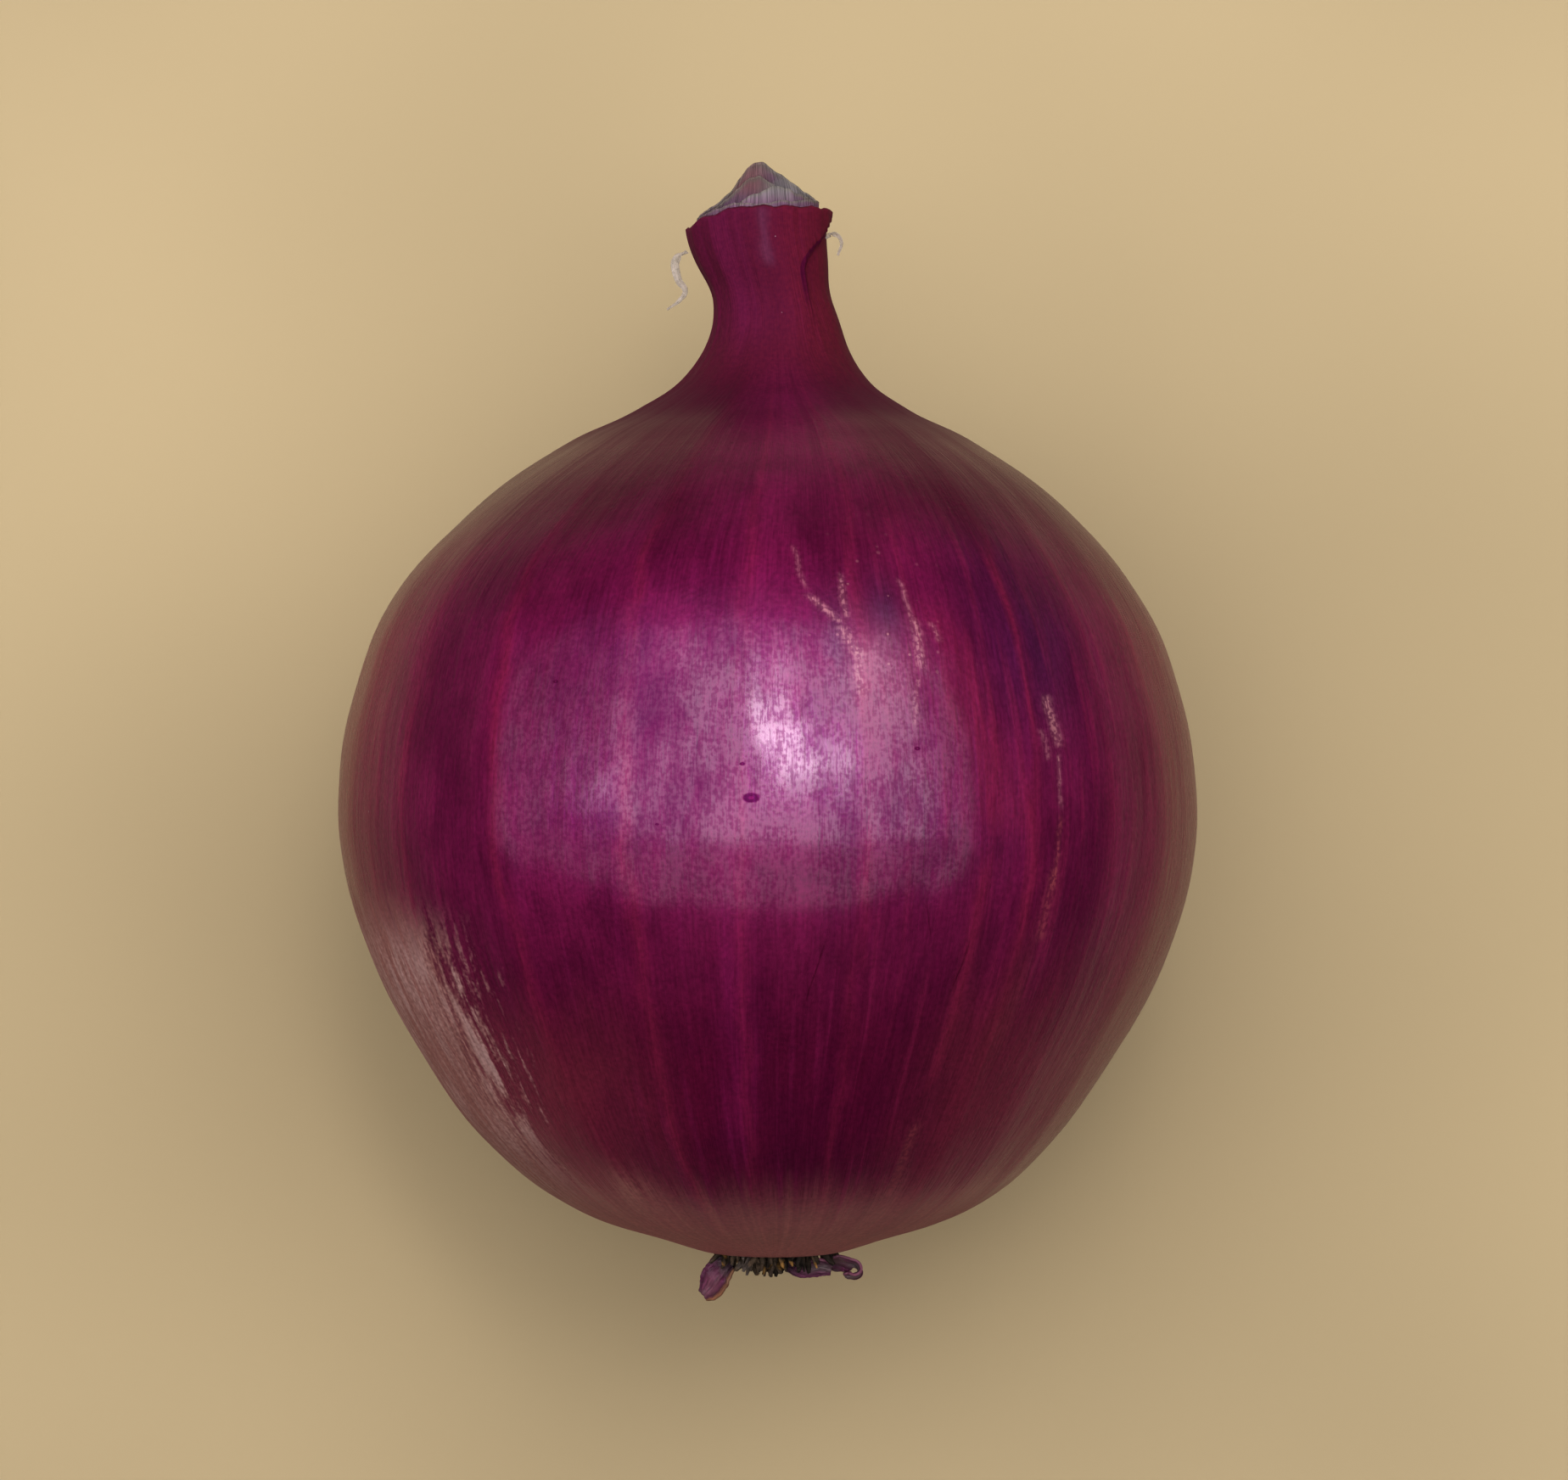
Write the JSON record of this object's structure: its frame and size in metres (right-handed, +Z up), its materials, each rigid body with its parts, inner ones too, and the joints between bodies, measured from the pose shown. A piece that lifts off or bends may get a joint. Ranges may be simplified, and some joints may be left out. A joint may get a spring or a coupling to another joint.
{
  "type": "red onion",
  "caption": "Whole red onion lying on its side, with a dry purple skin, a cut neck filled with dried leaf tips, and a root plate with root stubs.",
  "frame": {"origin": "on the surface that the onion rests on, under the middle of its bounding box", "axes": "+Y from the root end to the neck, +Z up as the onion lies, +X to the right seen from above with the neck away from the viewer"},
  "size_m": [0.0748, 0.0998, 0.0743],
  "materials": {
    "skin": "satin",
    "dried_tips": "matte",
    "root": "matte",
    "scrap": "matte"
  },
  "bodies": {
    "root": {"bulb": "skin", "neck_tips": "dried_tips", "root_plate": "root", "root_flap": "scrap", "root_curl": "scrap"}
  },
  "joints": []
}
